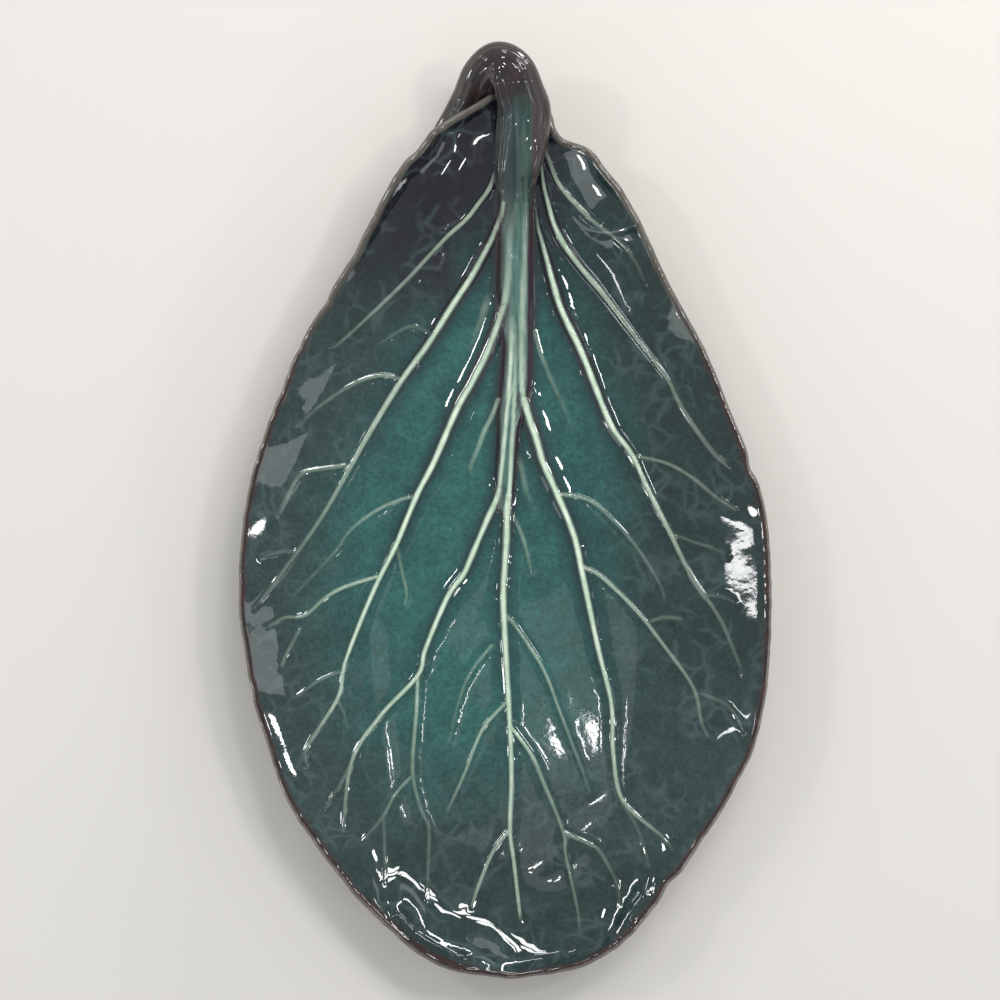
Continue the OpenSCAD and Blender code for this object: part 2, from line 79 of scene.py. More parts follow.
# Each route: the piece it belongs to, its half widths, heights and paleness at even steps along it, and
# the places it runs through. A branch that hardly stands out has low heights.
LOW = [0.2, 0.2, 0.1]
ROUTES = [
    ["midrib", [0.9, 0.9], [0.3, 0.3, 0.4], [0, 0.02, 0.1, 0.22, 0.5],
     [[517, 150], [516, 200], [510, 240], [507, 285], [502.5, 307]]],
    ["midrib", [0.7, 0.8], [0.3, 0.4, 0.5], [0, 0.1, 0.3, 0.35, 0.7],
     [[527, 150], [526, 200], [525, 240], [523, 285], [521.5, 336], [522, 385], [524, 398]]],
    ["midrib", [0.7, 0.65], [0.4, 0.5, 0.5], [0.12, 0.75, 0.7, 0.65, 0.7],
     [[512, 318], [511, 350], [509.5, 385], [506.5, 417], [503.5, 449], [501, 474], [499, 490]]],
    ["midrib", [0.4, 0.75], [0.2, 0.35, 0.5], [0.1, 0.3, 0.5, 0.6, 0.8],
     [[515.5, 322], [514.8, 385], [513.5, 417], [511.5, 449], [510.3, 474], [509, 495]]],
    ["centre_vein", [1.0, 0.4], [1.5, 0.9, 0.15], [0.8, 0.8, 0.85, 0.6, 0.35],
     [[509, 495], [507.3, 510], [506.5, 540], [504.5, 570], [503.3, 600], [505, 640], [509, 710],
      [511.5, 774], [510, 831], [514, 864], [518, 899], [521, 925]]],
    ["left_vein_1", [0.6, 0.35], [1.1, 0.7, 0.1], [0.3, 0.5, 0.32, 0.25, 0.08],
     [[499, 160], [490.5, 185], [478, 203], [465, 219], [445, 237], [402, 283], [350, 333],
      [330, 350]]],
    ["left_vein_2", [0.35, 0.7, 0.85, 0.75, 0.6, 0.5, 0.4], [1.2, 1.9, 1.5, 1.2, 0.8, 0.4, 0.1],
     [0.2, 0.5, 0.9, 0.7, 0.5, 0.28, 0.16, 0.06],
     [[507, 165], [505.8, 185], [503.3, 204], [500, 217], [495.6, 228], [490.5, 240.5], [481, 258],
      [470, 277.5], [453, 303], [427, 344], [400, 381], [366, 437], [327, 507], [297, 552],
      [254, 609]]],
    ["left_vein_3", [0.95, 0.4], [2.0, 1.2, 0.1], [0.6, 0.95, 0.93, 0.75, 0.1],
     [[502.5, 307], [498.8, 320], [493, 336], [484, 358], [475.8, 374], [470, 385], [456, 410],
      [434, 461], [416, 496], [395, 546], [372, 593], [345, 661], [337, 699], [307, 747], [305, 765]]],
    ["left_vein_4", [0.8, 0.4], [1.5, 1.0, 0.1], [0.75, 0.92, 0.82, 0.45, 0.06],
     [[499, 490], [495, 503], [487, 520], [470, 560], [463, 575], [447, 598], [425, 650], [417, 677],
      [380, 717], [351, 763], [342, 838]]],
    ["left_vein_5", [0.45, 0.35], [0.6, 0.3, 0.1], [0.4, 0.42, 0.33, 0.25, 0.08],
     [[507, 703], [485, 727], [475, 747], [464, 776], [446, 815]]],
    ["left_vein_6", [0.5, 0.4], [0.6, 0.4, 0.1], [0.35, 0.35, 0.38, 0.3, 0.2],
     [[510, 832], [493, 854], [480, 884], [471, 910]]],
    ["right_vein_1", [0.55, 0.4], [1.2, 0.7, 0.1], [0.15, 0.5, 0.25, 0.12, 0.04],
     [[543, 148], [548.6, 159], [556.5, 178.6], [568.3, 195.4], [579.2, 206.3], [594, 221], [621, 243],
      [636, 263], [646, 284]]],
    ["right_vein_2", [0.35, 0.7, 0.65, 0.5, 0.45, 0.4], [1.2, 1.6, 1.2, 0.8, 0.4, 0.1],
     [0.2, 0.75, 0.6, 0.35, 0.24, 0.2, 0.08],
     [[541, 163], [544, 185], [548.6, 203.3], [554.3, 223], [564, 242.4], [581, 266], [602, 291],
      [639, 340], [668, 379], [681, 405], [711, 448], [731, 467]]],
    ["right_vein_3", [0.3, 0.85, 0.85, 0.7, 0.6, 0.5, 0.4], [1.0, 2.1, 1.8, 1.3, 0.9, 0.4, 0.1],
     [0.05, 0.9, 0.95, 0.9, 0.7, 0.36, 0.16, 0.06],
     [[536, 208], [538.3, 226.5], [541.5, 238], [547, 258], [554.3, 285], [562.5, 310.5], [583.5, 355],
      [610.5, 422], [632.5, 454], [647, 485], [671, 533], [692, 576], [722, 622], [744, 677]]],
    ["right_vein_4", [1.0, 0.4], [1.8, 1.1, 0.1], [0.85, 0.95, 0.85, 0.6, 0.05],
     [[524, 398], [527, 410.5], [531, 423], [535.8, 436], [539.4, 449], [543, 461.5], [548.6, 474],
      [553.4, 485], [573.5, 533], [583.5, 577], [598, 646], [612, 705], [614, 755], [624, 803],
      [664, 839], [675, 856]]],
    ["right_vein_5", [0.45, 0.35], [0.6, 0.35, 0.1], [0.2, 0.35, 0.25, 0.15, 0.05],
     [[505, 615], [517, 629], [543.5, 670], [561, 715], [582, 770], [591, 797]]],
    ["right_vein_6", [0.5, 0.35], [0.7, 0.4, 0.1], [0.7, 0.3, 0.22, 0.18, 0.06],
     [[511, 728], [532, 757], [543, 782], [564, 835], [566, 856], [578, 912], [580, 935]]],
    ["left_vein_2", [0.5, 0.4], [0.3, 0.3, 0.1], [0.2, 0.25, 0.15, 0.1, 0.04],
     [[400, 378], [378, 375], [350, 385], [313, 411], [299, 428]]],
    ["left_vein_2", [0.5, 0.4], LOW, [0.08, 0.08, 0.1, 0.06, 0.03],
     [[433, 334], [412, 325], [394, 333], [376, 345]]],
    ["left_vein_2", [0.45, 0.5], [0.3, 0.3, 0.1], [0.12, 0.2, 0.14, 0.15, 0.05],
     [[351, 465], [320, 469], [300, 475], [286, 498], [277, 516]]],
    ["left_vein_2", [0.5, 0.5], LOW, [0.09, 0.08, 0.08, 0.06, 0.03],
     [[297, 552], [279, 552], [261, 557]]],
    ["left_vein_3", [0.45, 0.4], [0.4, 0.3, 0.1], [0.25, 0.25, 0.12, 0.07, 0.04],
     [[416, 496], [399, 500], [375, 511], [350, 530], [334, 552], [309, 579], [291, 598]]],
    ["left_vein_3", [0.5, 0.4], [0.6, 0.4, 0.1], [0.45, 0.48, 0.28, 0.22, 0.05],
     [[377, 577], [345, 587], [325, 598], [304, 616], [284, 618], [268, 627]]],
    ["left_vein_3", [0.45, 0.4], LOW, [0.12, 0.12, 0.16, 0.14, 0.08],
     [[396, 545], [402, 575], [406, 593], [404, 607]]],
    ["left_vein_3", [0.4, 0.4], LOW, [0.12, 0.12, 0.12, 0.1, 0.04],
     [[341, 672], [319, 681], [296, 697]]],
    ["left_vein_3", [0.4, 0.4], LOW, [0.12, 0.1, 0.08, 0.06, 0.03],
     [[336, 701], [342, 712], [346, 726]]],
    ["left_vein_4", [0.5, 0.4], [0.5, 0.3, 0.1], [0.5, 0.3, 0.16, 0.1, 0.05],
     [[417, 677], [416, 710], [412, 772], [420, 810], [428, 829], [428, 860], [426, 904]]],
    ["left_vein_4", [0.45, 0.4], LOW, [0.18, 0.14, 0.1, 0.06, 0.03],
     [[352, 761], [340, 785], [323, 811]]],
    ["right_vein_3", [0.45, 0.4], [0.3, 0.3, 0.1], [0.15, 0.18, 0.2, 0.14, 0.08],
     [[633, 455], [661, 461], [676, 467], [698, 481], [718, 498], [737, 511]]],
    ["right_vein_3", [0.4, 0.4], LOW, [0.06, 0.08, 0.1, 0.08, 0.05],
     [[672, 533], [694, 542], [713, 548], [727, 555]]],
    ["right_vein_3", [0.4, 0.4], LOW, [0.08, 0.08, 0.06, 0.05, 0.03],
     [[706, 596], [722, 597], [735, 603]]],
    ["right_vein_4", [0.45, 0.4], [0.4, 0.3, 0.1], [0.35, 0.2, 0.14, 0.1, 0.05],
     [[560, 494], [583, 498], [602, 509], [635, 544], [661, 585], [666, 603]]],
    ["right_vein_4", [0.5, 0.4], [0.5, 0.35, 0.1], [0.4, 0.42, 0.3, 0.2, 0.08],
     [[584, 567], [604, 579], [637, 611], [663, 644], [694, 688], [702, 722], [710, 740]]],
    ["right_vein_4", [0.5, 0.5], LOW, [0.1, 0.07, 0.06, 0.06, 0.03],
     [[622, 802], [639, 833], [650, 870]]],
    ["right_vein_6", [0.5, 0.45], [0.3, 0.3, 0.1], [0.2, 0.18, 0.1, 0.07, 0.04],
     [[564, 835], [587, 845], [599, 852], [610, 870], [618, 887], [620, 908]]],
    ["leaf_blade", [1.0, 0.8], [0.2, 0.15, 0.1], [0.02, 0.18, 0.1, 0.06, 0.02],
     [[489, 292], [485, 306], [477, 330], [468, 350]]],
    ["leaf_blade", [0.6, 0.6], [0.3, 0.25, 0.1], [0.35, 0.32, 0.28, 0.2, 0.08],
     [[498, 399], [491.8, 415.6], [484, 431], [478, 447.5], [472.7, 460], [469, 471]]],
    ["leaf_blade", [0.5, 0.7], [0.3, 0.2, 0.1], [0.2, 0.2, 0.1, 0.06, 0.03],
     [[535, 330], [540, 350], [546, 365], [551, 378], [562, 401], [573, 428]]],
    ["leaf_blade", [0.5, 0.5], LOW, [0.05, 0.2, 0.2, 0.14, 0.06],
     [[513, 515], [520, 530], [526, 548], [531, 570]]],
    ["leaf_blade", [0.8, 0.6], [0.2, 0.15, 0.1], [0.02, 0.16, 0.14, 0.08, 0.02],
     [[519, 455], [523, 475], [527, 492], [533, 505]]],
    ["leaf_blade", [0.45, 0.4], [0.25, 0.2, 0.1], [0.22, 0.14, 0.1, 0.07, 0.05],
     [[491, 647], [469, 676], [457, 708], [448, 747]]],
    ["leaf_blade", [0.4, 0.4], LOW, [0.2, 0.24, 0.16, 0.1, 0.06],
     [[410, 779], [394, 797], [382, 819], [362, 842]]],
    ["leaf_blade", [0.4, 0.4], LOW, [0.06, 0.1, 0.1, 0.06, 0.04],
     [[383, 820], [384, 854], [385, 886]]],
    ["leaf_blade", [0.4, 0.5], LOW, [0.14, 0.12, 0.14, 0.15, 0.12],
     [[299, 630], [286, 655], [281, 668]]],
    ["leaf_blade", [0.5, 0.5], LOW, [0.1, 0.1, 0.1, 0.1, 0.05],
     [[652, 622], [666, 618], [685, 620]]],
    ["leaf_blade", [0.5, 0.4], LOW, [0.1, 0.08, 0.06, 0.05, 0.04],
     [[704, 695], [729, 707], [744, 732]]],
    ["leaf_blade", [1.3, 1.0], [0.5, 1.0, 0.5], [0, 0, 0, 0, 0],
     [[562, 190], [578, 214], [598, 230], [622, 229], [644, 222]]],
]

# The wavy line where the tip's wall starts to climb, in pixels, and its level if it were straight
TIP_ARC = [
    [370, 925], [398, 908], [425, 911], [455, 908], [479, 917], [509, 938], [536, 948], [566, 950],
    [590, 938], [608, 932], [644, 906], [670, 900],
]
TIP_ARC_LEVEL = 929.0

# The bend where the flat floor ends and starts to climb towards the tip, in pixels
FLOOR_BEND = [
    [416, 808], [430, 824], [445, 840], [469, 855], [498, 863], [525, 853], [563, 827], [590, 808],
    [614, 788],
]

# How far the thick lip of glaze reaches in from the rim: places across the leaf in pixels, reach in mm
LIP_REACH = [
    [290, 0.6], [310, 1.2], [345, 1.8], [380, 2.6], [425, 3.2], [455, 3.2], [476, 2.2], [488, 1.2],
    [536, 1.3], [549, 2.2], [575, 2.0], [596, 2.4], [640, 1.9], [668, 1.7], [690, 0.7], [720, 0.4],
]

# Nicks in the hand-cut edge: the place in pixels, then size and depth in mm
NICKS = [
    [757, 465, 2.5, 1.0], [668, 885, 3.5, 1.3], [255, 690, 2.5, 0.7], [327, 303, 2.5, 0.7],
    [303, 350, 2.5, 0.6], [248, 640, 3, 0.4], [700, 838, 3, 0.5], [415, 148, 3, 0.4],
]

# The stem, as in the CAD model: its route, and its size at each place as shares of the way from
# its start to its full size and then to its end
STEM_PX = [
    [515, 199], [516, 175], [521, 145], [524, 115], [520, 96], [512, 76], [498, 67], [483, 77],
    [472, 97], [461, 115], [450, 132], [443, 145],
]
STEM_GROW = [0, 0.45, 0.9, 1, 1, 1, 1, 1, 1, 1, 1, 1]
STEM_TAPER = [0, 0, 0, 0, 0.25, 0.4, 0.5, 0.6, 0.75, 0.9, 1, 1]
STEM_START = [10.6, 4.0]
STEM_FULL = [16.2, 10.5]
STEM_END = [10.5, 7.5]
STEM_CROWN_Z = 33.5
CROWN_DROP = [0.05, 0.2, 0.55]
STEM_GAP = 0.4

# The foot ring, as in the CAD model, with the section of its wall: places across it and heights
FOOT_LEN = 124.0
FOOT_W = 62.0
FOOT_WALL = 6.0
FOOT_SECTION = np.array([
    [-3, 4.9], [-3, 1.2], [-2.75, 0.5], [-2.2, 0.1], [-1.4, 0], [1.4, 0], [2.2, 0.1], [2.75, 0.5],
    [3, 1.2], [3, 3.2], [3.12, 3.8], [3, 4.4], [3, 5.6], [-3, 5.6]])

# How fine the meshes are, and how far from a route its relief can reach
REACH = 14
OUTLINE_STEP = 0.75
FILL_STEP = 1.2
UNDER_STEP = 2.4
RIM_STEPS = 7
STEM_RINGS = 150
STEM_SIDES = 88
SEATED_RINGS = 40
FOOT_TURNS = 180

# Thickness of a rib's visual piece
BED = 0.9

# The camera's height, how far it is from the plane where the scale holds, and the width seen there
CAMERA_Z = 1420.0
PICTURE_DEPTH = 1400.0
PICTURE_WIDTH = 300.0
SENSOR = 36

# The rim's slope is measured this far in, over this step
SLOPE_FAR = 1.5
SLOPE_STEP = 0.3

# The floor and the world
FLOOR_SIZE = 6.0
FLOOR_COLOUR = (0.675, 0.645, 0.60)
WORLD_COLOUR = (0.92, 0.96, 1.0, 1)
WORLD_STRENGTH = 0.56


# Curves, ramps and places
def smoothstep(low, high, x):
    t = np.clip((x - low) / (high - low), 0, 1)
    return t * t * (3 - 2 * t)


def lerp(a, b, s):
    return a + (b - a) * s


def unit(rows):
    return rows / np.linalg.norm(rows, axis=-1, keepdims=True)


def at(points):
    p = np.array(points, float)
    x = (p[..., 0] - MIDDLE_PX) * MM_PER_PX
    y = TIP_Y + (TIP_PX - p[..., 1]) * MM_PER_PX
    return np.stack([x, y], -1)


def pixels(points):
    return points[:, 0] / MM_PER_PX + MIDDLE_PX, TIP_PX - (points[:, 1] - TIP_Y) / MM_PER_PX


def catmull(rows, t):
    rows = np.array(rows, float)
    t = np.atleast_1d(t)
    i = np.clip(np.floor(t).astype(int), 0, len(rows) - 2)
    s = (t - i)[:, None]
    p0 = rows[np.maximum(i - 1, 0)]
    p1 = rows[i]
    p2 = rows[i + 1]
    p3 = rows[np.minimum(i + 2, len(rows) - 1)]
    bend = (2 * p0 - 5 * p1 + 4 * p2 - p3) * s * s
    return 0.5 * (2 * p1 + (p2 - p0) * s + bend + (3 * p1 - p0 - 3 * p2 + p3) * s ** 3)


def evenly(points, step):
    ends = np.r_[0, np.cumsum(np.linalg.norm(np.diff(points[:, :2], axis=0), axis=1))]
    count = max(2, int(round(ends[-1] / step)))
    marks = np.linspace(0, ends[-1], count + 1)
    return np.stack([np.interp(marks, ends, points[:, k]) for k in range(points.shape[1])], 1)


def smooth_route(points, step):
    rows = np.array(points, float)
    fine = catmull(rows, np.linspace(0, len(rows) - 1, 16 * (len(rows) - 1) + 1))
    return evenly(fine, step)


def along_route(values, t):
    return np.interp(t, np.linspace(0, 1, len(values)), values)


def leftward(line):
    d = unit(np.gradient(line[:, :2], axis=0))
    return np.stack([-d[:, 1], d[:, 0]], 1)


def smoothed(values):
    return 0.25 * np.roll(values, 1, 0) + 0.5 * values + 0.25 * np.roll(values, -1, 0)


def wobble(points, size, seed):
    return np.array([noise.noise(Vector((p[0] / size, p[1] / size, seed))) for p in points])


# Height of the dish without its ribs
margin_rows = catmull(MARGIN_SHARES, np.linspace(0, len(MARGIN_SHARES) - 1, 501))
margin_y = TIP_Y + margin_rows[:, 0] * BLADE_LEN
margin_left = margin_rows[:, 1] * BLADE_W / 2
margin_right = margin_rows[:, 2] * BLADE_W / 2


def dish_height(p):
    left = np.interp(p[:, 1], margin_y, margin_left)
    right = np.interp(p[:, 1], margin_y, margin_right)
    across = np.clip(2 * (p[:, 0] - left) / (right - left) - 1, -1, 1)
    along = np.clip((p[:, 1] - TIP_Y) / BLADE_LEN, 0, 1)
    sides = catmull(RIM_RISE_SHARES, along * (len(RIM_RISE_SHARES) - 1))
    rise = RIM_RISE * lerp(sides[:, 0], sides[:, 1], (1 - np.cos(np.pi / 2 * (across + 1))) / 2)
    w = 2 * along - 1
    power = lerp(2.6, 1.8, np.clip((along - 0.55) / 0.3, 0, 1))
    side = (np.maximum(0, np.abs(across) - 0.4) / 0.6) ** power
    beyond = np.maximum(0, np.abs(w) - 0.5) / 0.5
    end = np.where(w > 0, 0.8 * beyond ** 2.2, beyond ** 4.5)
    return FLOOR_Z + rise * (side + (1 - side) * end)


# Directions out of a loop
def loop_normals(loop):
    d = unit(np.roll(loop, -1, 0) - np.roll(loop, 1, 0))
    return np.stack([d[:, 1], -d[:, 0]], 1)


# Distance from each point to a route, with the share of the way along it and the side it is on
def near_route(points, line):
    best = np.full(len(points), 1e9)
    share = np.zeros(len(points))
    side = np.ones(len(points))
    a = line[:-1, :2]
    ab = line[1:, :2] - a
    length = (ab ** 2).sum(1)
    low = line[:, :2].min(0) - REACH
    high = line[:, :2].max(0) + REACH
    inside = np.where(((points > low) & (points < high)).all(1))[0]
    for chunk in np.array_split(inside, max(1, len(inside) // 4000)):
        if len(chunk) == 0:
            continue
        ap = points[chunk][:, None] - a[None]
        s = np.clip((ap * ab[None]).sum(-1) / length[None], 0, 1)
        off = ap - s[..., None] * ab[None]
        d2 = (off ** 2).sum(-1)
        k = d2.argmin(1)
        rows = np.arange(len(chunk))
        best[chunk] = np.sqrt(d2[rows, k])
        share[chunk] = (k + s[rows, k]) / len(a)
        side[chunk] = np.sign(ab[k, 1] * ap[rows, k, 0] - ab[k, 0] * ap[rows, k, 1])
    return best, share, side


routes = [{
    "owner": owner, "line": smooth_route(at(px), 0.65), "width": widths, "height": heights,
    "pale": paleness, "in_strap": owner == "midrib",
} for owner, widths, heights, paleness, px in ROUTES]
strap_rows = smooth_route(np.column_stack([at(np.array(STRAP)[:, :2]), np.array(STRAP)[:, 2:]]), 1.0)
STRAP_TOP_Y = at([515, 203])[1]


# Everything that the surface and its glaze need to know at each point
def survey(points, keep_strap=False):
    count = len(points)
    ridge, fibres, swell, pale, flank, hollow = np.zeros((6, count))
    owner = np.full(count, -1)
    nearest = np.full(count, 1.0)
    thickness_noise = 1 + 0.14 * wobble(points, 4.5, 12.3)
    for k, route in enumerate(routes):
        d, t, _ = near_route(points, route["line"])
        c = along_route(route["width"], t) * thickness_noise
        h = along_route(route["height"], t)
        side_rib = route["owner"] != "centre_vein"
        half = c * (1.25 + 0.55 * smoothstep(0.4, 1.8, h)) + 0.15
        if route["height"][0] >= 1.5 and side_rib:
            half = half + 0.75 * (1 - smoothstep(0.25, 0.5, t))
        bell = h / (1 + (d / half) ** 3.4) * (1 - smoothstep(1.9 * half, 3.1 * half, d))
        if route["in_strap"]:
            fibres = np.maximum(fibres, bell * smoothstep(0, 0.1, t))
        else:
            ridge += bell ** 4
            if route["height"][0] >= 1 and side_rib:
                fading = 1 - smoothstep(0.1, 0.5, t)
                swell = np.maximum(swell, 0.42 * h * np.exp(-(d / 4.6) ** 2) * fading)
            steep = np.exp(-((d - 1.55 * c - 0.3) / (0.4 * c + 0.25)) ** 2) * smoothstep(0.9, 1.9, h)
            flank = np.maximum(flank, steep)
            # Darkening beside each rib: glaze pooled there, partly painted shade
            dark = np.exp(-(d / (3.2 * c + 1.0)) ** 2) * smoothstep(0.4, 1.5, h)
            hollow = np.maximum(hollow, dark)
        tip = 1 - smoothstep(0.97, 1.0, t) * (d > 0)
        strength = along_route(route["pale"], t) * tip
        soft = 0.28 + 0.25 * (1 - smoothstep(0.15, 0.5, strength))
        crest = c * lerp(1.0, 0.78, smoothstep(0.3, 0.7, strength))
        edge = 1 - smoothstep(crest * (0.95 - soft), crest * (1.0 + soft) + 0.06, d)
        pale = np.maximum(pale, strength * edge)
        if not route["in_strap"] and route["owner"] != "leaf_blade":
            reach = d / (2.0 * c + 0.5)
            mine = reach < nearest
            nearest[mine] = reach[mine]
            owner[mine] = k
    # The strap of the midrib
    d, t, side = near_route(points, strap_rows)
    half = along_route(strap_rows[:, 2], t)
    tall = along_route(strap_rows[:, 3], t)
    s = d / half
    strap = tall / (1 + (s / 0.93) ** 9)
    inside = 1 - smoothstep(0.9, 1.15, s)
    if not keep_strap:
        fade = 1 - smoothstep(STRAP_TOP_Y + 1, STRAP_TOP_Y + 7, points[:, 1])
        strap = strap * fade
        inside = inside * fade
    strap_side = np.exp(-((s - 0.98) / 0.2) ** 2) * (tall > 1) * smoothstep(0.9, 2.0, tall)
    flank = np.maximum(flank, strap_side)
    # The same darkening beside the strap, partly painted shade
    hollow = np.maximum(hollow, np.exp(-(np.maximum(0, d - half) / 2.6) ** 2))
    relief = (ridge + strap ** 4) ** 0.25 + fibres * inside + swell * (1 - inside)
    in_strap = (s < 1.12) & (points[:, 1] < STRAP_TOP_Y) & (t < 0.985)
    return {
        "relief": relief, "pale": pale, "flank": flank * (1 - 0.6 * pale), "hollow": hollow,
        "strap": inside, "across": np.clip(-s * side, -3, 3), "owner": owner, "in_strap": in_strap,
    }


# How far the thick lip of glaze reaches in from the rim
def lip_reach(points):
    px, py = pixels(points)
    reach = np.interp(px, *np.array(LIP_REACH).T)
    reach = reach + 0.5 * wobble(points, 5.5, 7.7) + 0.25 * wobble(points, 2.2, 9.1)
    return reach * smoothstep(760, 830, py)


tip_arc = smooth_route(TIP_ARC, 2.0)
bend_line = smooth_route(at(FLOOR_BEND), 0.65)


# Height added past the bend where the floor starts to climb
def floor_bend(points):
    d, t, side = near_route(points, bend_line)
    u = side * np.minimum(d, REACH)
    past = 0.5 * (u + np.sqrt(u * u + 0.5))
    ends = smoothstep(0, 0.12, t) * (1 - smoothstep(0.88, 1, t))
    return 0.22 * (1 - np.exp(-past / 6)) * ends * (1 - smoothstep(4, 13, d))


# The points moved so that the tip's wall starts along its wavy line
def bent_to_arc(points, rim_far):
    px, py = pixels(points)
    shift = TIP_ARC_LEVEL - np.interp(px, *tip_arc.T) + 0.5 * wobble(points, 3.0, 5.9)
    share = smoothstep(790, 915, py) * smoothstep(0.5, 6.0, rim_far)
    share = share * smoothstep(370, 400, px) * (1 - smoothstep(640, 670, px))
    return points - np.column_stack([0 * shift, shift * share * MM_PER_PX])


def surface_height(points, data, rim_far=None):
    base = dish_height(points if rim_far is None else bent_to_arc(points, rim_far)) + floor_bend(points)
    if rim_far is not None:
        reach = lip_reach(points)
        lip = 1 - smoothstep(reach - 0.5, reach + 0.1, rim_far)
        base = base + 0.4 * lip * smoothstep(0.3, 1.5, reach)
    puckers = 0.008 * wobble(points, 26, 3.1) + 0.002 * wobble(points, 8, 8.4)
    climbing = smoothstep(FLOOR_Z + 1.5, FLOOR_Z + 9, base)
    puckers = puckers + climbing * (0.3 * wobble(points, 38, 6.3) + 0.05 * wobble(points, 13, 2.2))
    fine = 0.0008 * wobble(points, 2.6, 4.4)
    return base + data["relief"] + puckers + fine


# The outline of the leaf, counter-clockwise from the tip
right = np.stack([margin_right, margin_y], 1)
left = np.stack([margin_left, margin_y], 1)[::-1]
outer = evenly(np.vstack([right, left, right[:1]]), 0.4)[:-1]
for _ in range(4):
    outer = smoothed(outer)
outer = evenly(np.vstack([outer, outer[:1]]), OUTLINE_STEP)[:-1]
outward = loop_normals(outer)

# It is drawn in by a hand-cut wobble, and where the edge has nicks
nick = 0.28 * (1 + wobble(outer, 9, 1.7)) + 0.18 * (1 + wobble(outer, 3.2, 5.2))
for x, y, size, depth in NICKS:
    far = np.linalg.norm(outer - at([x, y]), axis=1)
    nick = nick + depth * np.exp(-(far / size) ** 2)
outer = outer - outward * nick[:, None]
outward = loop_normals(outer)

# The rim leans with the slope of the dish beside it, and is thinner where the outline bends sharply
at_rim = dish_height(outer - outward * SLOPE_FAR)
further_in = dish_height(outer - outward * (SLOPE_FAR + SLOPE_STEP))
slope = np.clip((at_rim - further_in) / SLOPE_STEP, 0, 1.6)
for _ in range(10):
    slope = smoothed(slope)
tilt = np.arctan(slope)
turn = np.roll(outward, -1, 0) * np.roll(outward, 1, 0)[:, ::-1]
bend = np.abs(turn[:, 0] - turn[:, 1]) / (2 * OUTLINE_STEP)
inset = np.minimum(RIM_T / 2 * (1 + np.sin(tilt)), 0.6 / np.maximum(bend, 1e-3))
for _ in range(6):
    inset = np.minimum(inset, smoothed(inset))
rim_r = inset / (1 + np.sin(tilt))
edge_loop = outer - outward * inset[:, None]


def inside_loop(points, loop):
    hit = np.zeros(len(points), bool)
    x1, y1 = loop.T[:, None]
    x2, y2 = np.roll(loop, -1, 0).T[:, None]
    for chunk in np.array_split(np.arange(len(points)), max(1, len(points) // 3000)):
        px, py = points[chunk].T[..., None]
        cross = ((y1 > py) != (y2 > py)) & (px < (x2 - x1) * (py - y1) / (y2 - y1 + 1e-12) + x1)
        hit[chunk] = cross.sum(1) % 2 == 1
    return hit


def hex_fill(low, high, step):
    rows = []
    y = low[1]
    odd = 0
    while y < high[1]:
        xs = np.arange(low[0] + odd * step / 2, high[0], step)
        rows.append(np.stack([xs, np.full(len(xs), y)], 1))
        y += step * math.sqrt(3) / 2
        odd = 1 - odd
    return np.vstack(rows)


def tree_of(points):
    tree = KDTree(len(points))
    for i, p in enumerate(points):
        tree.insert((p[0], p[1], 0), i)
    tree.balance()
    return tree


def distances(tree, points):
    return np.array([tree.find((p[0], p[1], 0))[2] for p in points])


# Points of the top: rows beside the rim, the bend, the strap and each rib, and an even filling
features = []
spacing = []


def add_row(row, space):
    features.append(row)
    spacing.append(np.full(len(row), space))


for inward in [0.45, 1.0, 1.6, 2.2, 2.8, 3.5, 4.2, 5.0, 5.8]:
    add_row(edge_loop - outward * inward, 0.32)
for offset in [-1.3, -0.6, 0, 0.6, 1.3]:
    add_row(bend_line + leftward(bend_line) * offset, 0.4)
strap_fine = smooth_route(strap_rows, 0.6)
halves = [0.12, 0.24, 0.36, 0.48, 0.6, 0.72, 0.82, 0.9, 0.97, 1.03, 1.1, 1.2, 1.35]
for share in [-v for v in halves[::-1]] + [0] + halves:
    add_row(strap_fine[:, :2] + leftward(strap_fine) * (share * strap_fine[:, 2])[:, None], 0.2)
for route in routes:
    if route["in_strap"]:
        continue
    line = route["line"]
    left = leftward(line)
    c = along_route(route["width"], np.linspace(0, 1, len(line)))
    main = route["height"][0] > 0.55
    shares = [0, 0.45, 0.8, 1.0, 1.25, 1.6, 2.0, 2.6, 3.4] if main else [0, 0.55, 0.95, 1.3, 1.9]
    for share in shares:
        for sign in ((1, -1) if share else (1,)):
            away = sign * (share * c + 0.12 * (share > 1))
            add_row(line + left * away[:, None], np.minimum(0.25, 0.55 * c * 0.4))
features = np.vstack(features)
keep = inside_loop(features, edge_loop)
features = features[keep]
spacing = np.concatenate(spacing)[keep]
feature_tree = tree_of(features)
taken = np.zeros(len(features), bool)
for i in np.where(distances(tree_of(edge_loop), features) >= 0.3)[0]:
    around = feature_tree.find_range((*features[i], 0), spacing[i])
    taken[i] = not any(taken[j] for _, j, _ in around)
features = features[taken]
filling = hex_fill(outer.min(0), outer.max(0), FILL_STEP)
filling = filling[inside_loop(filling, edge_loop)]
filling = filling[distances(tree_of(np.vstack([features, edge_loop])), filling) > 0.75]


def triangulate(loop, points):
    verts = [Vector(p) for p in loop] + [Vector(p) for p in points]
    out = delaunay_2d_cdt(verts, [], [list(range(len(loop)))], 1, 1e-6, False)
    flat = np.array([tuple(v) for v in out[0]])
    faces = np.array([tuple(f) for f in out[2]])
    assert np.abs(flat[:len(loop)] - loop).max() < 1e-3, "the loop crosses itself"
    edge_only = (faces < len(loop)).all(1)
    keep_face = np.ones(len(faces), bool)
    keep_face[edge_only] = inside_loop(flat[faces[edge_only]].mean(1), loop)
    return flat, faces[keep_face]


# Triangles between rings that follow each other
def bands(rings):
    faces = []
    for a, b in zip(rings[:-1], rings[1:]):
        a2 = np.roll(a, -1)
        b2 = np.roll(b, -1)
        faces += [np.stack([a, b, b2], 1), np.stack([a, b2, a2], 1)]
    return np.vstack(faces)


